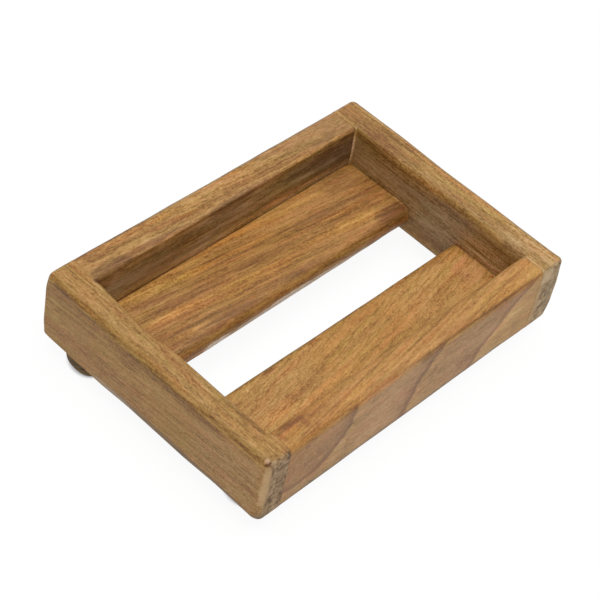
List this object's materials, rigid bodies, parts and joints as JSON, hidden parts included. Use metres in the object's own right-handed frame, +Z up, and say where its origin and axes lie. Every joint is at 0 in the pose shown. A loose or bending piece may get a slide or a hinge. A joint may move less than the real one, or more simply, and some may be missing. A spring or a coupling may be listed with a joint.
{
  "type": "soap dish",
  "caption": "Open rectangular wooden soap dish: butt-jointed rails round flat slats with a drain slot between them, on round button feet.",
  "frame": {"origin": "on the surface the dish stands on, under the middle of the tray", "axes": "+X along the long rails to the right, +Y from the front rail to the back rail, +Z up"},
  "size_m": [0.12, 0.084, 0.029],
  "materials": {
    "rail_wood": "sanded and lightly oiled",
    "slat_wood": "sanded and lightly oiled",
    "foot_wood": "dark oiled",
    "dowel_wood": "plain"
  },
  "bodies": {
    "root": {"left_rail": "rail_wood", "right_rail": "rail_wood", "front_rail": "rail_wood", "back_rail": "rail_wood", "front_slat": "slat_wood", "back_slat": "slat_wood", "foot_front_left": "foot_wood", "foot_front_right": "foot_wood", "foot_back_left": "foot_wood", "foot_back_right": "foot_wood", "dowel_front_left_low": "dowel_wood", "dowel_front_left_high": "dowel_wood", "dowel_front_right_low": "dowel_wood", "dowel_front_right_high": "dowel_wood", "dowel_back_left_low": "dowel_wood", "dowel_back_left_high": "dowel_wood", "dowel_back_right_low": "dowel_wood", "dowel_back_right_high": "dowel_wood", "slat_dowel_front_left_outer": "dowel_wood", "slat_dowel_front_left_inner": "dowel_wood", "slat_dowel_front_right_outer": "dowel_wood", "slat_dowel_front_right_inner": "dowel_wood", "slat_dowel_back_left_outer": "dowel_wood", "slat_dowel_back_left_inner": "dowel_wood", "slat_dowel_back_right_outer": "dowel_wood", "slat_dowel_back_right_inner": "dowel_wood"}
  },
  "joints": []
}
